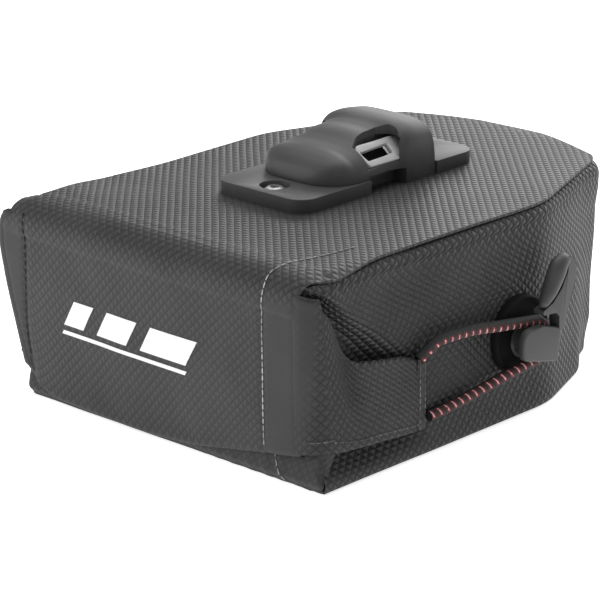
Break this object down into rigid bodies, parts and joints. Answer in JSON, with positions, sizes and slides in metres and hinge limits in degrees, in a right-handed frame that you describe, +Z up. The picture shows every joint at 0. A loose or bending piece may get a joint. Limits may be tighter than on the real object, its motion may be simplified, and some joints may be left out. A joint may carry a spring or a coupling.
{
  "type": "saddle bag",
  "caption": "Soft saddle bag with a roll closure, folded side ears held by elastic cords on hooks, and a plate with a hooded quick-release socket on top.",
  "frame": {"origin": "centre of the bottom of the bounding box, on the bottom panel's lower face", "axes": "+Z up, +Y forward to the nose and seat post, -Y is the roll closure, +X to the bag's right seen from the nose's side with the closure facing the viewer"},
  "size_m": [0.1464, 0.1665, 0.0822],
  "materials": {
    "black_fabric": "satin",
    "black_plastic": "satin",
    "grey_plastic": "satin",
    "board_plastic": "matte",
    "steel": "satin",
    "elastic": "matte"
  },
  "bodies": {
    "bag": {"bottom_panel": "black_fabric", "bottom_stiffener_board": "board_plastic", "button_spring": "steel", "hood_screw_left": "steel", "hood_screw_right": "steel", "hook_dish_left": "black_plastic", "hook_dish_right": "black_plastic", "hook_rivet_left": "steel", "hook_rivet_right": "steel", "hook_washer_left": "steel", "hook_washer_right": "steel", "mount_backing_plate": "steel", "mount_hood": "black_plastic", "mount_nut_front": "steel", "mount_nut_rear": "steel", "mount_plate": "black_plastic", "mount_screw_front": "steel", "mount_screw_rear": "steel", "mount_washer_front": "steel", "mount_washer_rear": "steel", "mouth_lip": "black_fabric", "side_hook_left": "black_plastic", "side_hook_right": "black_plastic", "side_wall": "black_fabric", "top_panel": "black_fabric", "top_seam_flange": "black_fabric", "top_stiffener_board": "board_plastic"},
    "closure": {"closure_flap": "black_fabric", "roll_stiffener": "board_plastic"},
    "ear_right": {"closure_ear_right": "black_fabric", "ear_end_tape_right": "black_fabric", "elastic_cord_right": "elastic"},
    "ear_left": {"closure_ear_left": "black_fabric", "ear_end_tape_left": "black_fabric", "elastic_cord_left": "elastic"},
    "release_right": {"release_button_right": "grey_plastic"},
    "release_left": {"release_button_left": "grey_plastic"}
  },
  "joints": [
    {"name": "closure_hinge", "type": "hinge", "parent": "bag", "child": "closure", "pos_m": [0, -0.0814, 0.0632], "axis": [-1, 0, 0], "range_deg": [0, 110], "stiffness_Nm_per_rad": 0.005, "springref_deg": -57.3, "deforming": ["elastic_cord_right", "elastic_cord_left"]},
    {"name": "ear_hinge_right", "type": "hinge", "parent": "closure", "child": "ear_right", "pos_m": [0.0628, -0.0818, 0.061], "axis": [0, 0.0854, -0.9963], "range_deg": [0, 100], "stiffness_Nm_per_rad": 0.004, "springref_deg": -17.19, "deforming": ["elastic_cord_right"]},
    {"name": "ear_hinge_left", "type": "hinge", "parent": "closure", "child": "ear_left", "pos_m": [-0.0628, -0.0818, 0.061], "axis": [0, -0.0854, 0.9963], "range_deg": [0, 100], "stiffness_Nm_per_rad": 0.004, "springref_deg": -17.19, "deforming": ["elastic_cord_left"]},
    {"name": "release_slide_right", "type": "slide", "parent": "bag", "child": "release_right", "axis": [-1, 0, 0], "range_m": [0, 0.002], "stiffness_N_per_m": 800, "deforming": ["button_spring"]},
    {"name": "release_slide_left", "type": "slide", "parent": "bag", "child": "release_left", "axis": [1, 0, 0], "range_m": [0, 0.002], "stiffness_N_per_m": 800, "deforming": ["button_spring"]}
  ]
}
